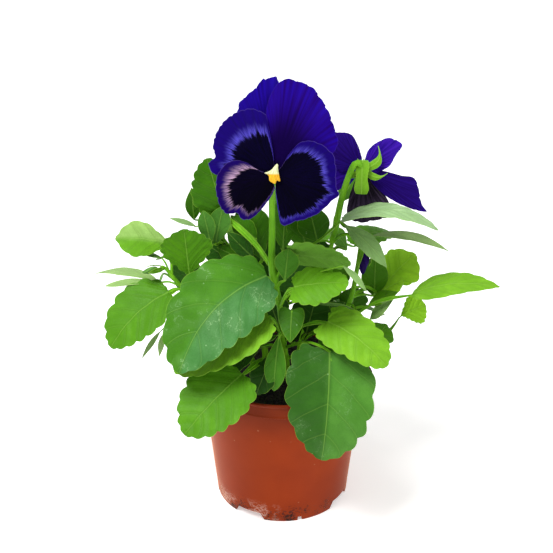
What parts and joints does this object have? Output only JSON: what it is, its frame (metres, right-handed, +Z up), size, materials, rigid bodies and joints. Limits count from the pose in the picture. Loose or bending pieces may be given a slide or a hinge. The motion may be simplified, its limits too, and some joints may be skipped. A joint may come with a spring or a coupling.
{
  "type": "potted pansy",
  "caption": "Pansy in a round terracotta-coloured plastic nursery pot, with an open violet bloom facing forward, a second turned away, buds and scalloped leaves.",
  "frame": {"origin": "on the pot's axis, on the ground that the pot's feet stand on", "axes": "+Z up along the pot's axis; -Y is the front, where the large bloom looks; +X to the right seen from the front"},
  "size_m": [0.2406, 0.1532, 0.2746],
  "materials": {
    "terracotta": "smooth satin moulded plastic, terracotta orange-brown, a little scuffed and soiled at the foot",
    "soil": null,
    "leaf": "soft waxy green leaf and stalk, paler veins, slightly glossy",
    "petal": "velvety deep violet petal with a near-black blotch and pale lavender markings towards the margin",
    "throat": "orange-yellow throat with cream beards",
    "dark_petal": "furled dark violet petals of a bud",
    "withered": "dry blackish withered leaf"
  },
  "bodies": {
    "root": {"pot": "terracotta", "soil": "soil", "shoot_front": "leaf", "shoot_left": "leaf", "shoot_right": "leaf", "shoot_back_left": "leaf", "shoot_back_right": "leaf", "shoot_back": "leaf", "petal_upper_left": "petal", "petal_upper_right": "petal", "petal_side_left": "petal", "petal_side_right": "petal", "petal_lip": "petal", "side_petal_upper_left": "petal", "side_petal_upper_right": "petal", "side_petal_lower_left": "petal", "side_petal_lower_right": "petal", "side_petal_bottom": "petal", "throat_patch": "throat", "bud_left": "dark_petal", "bud_right": "dark_petal", "scrap_left": "withered", "scrap_right": "withered"}
  },
  "joints": []
}
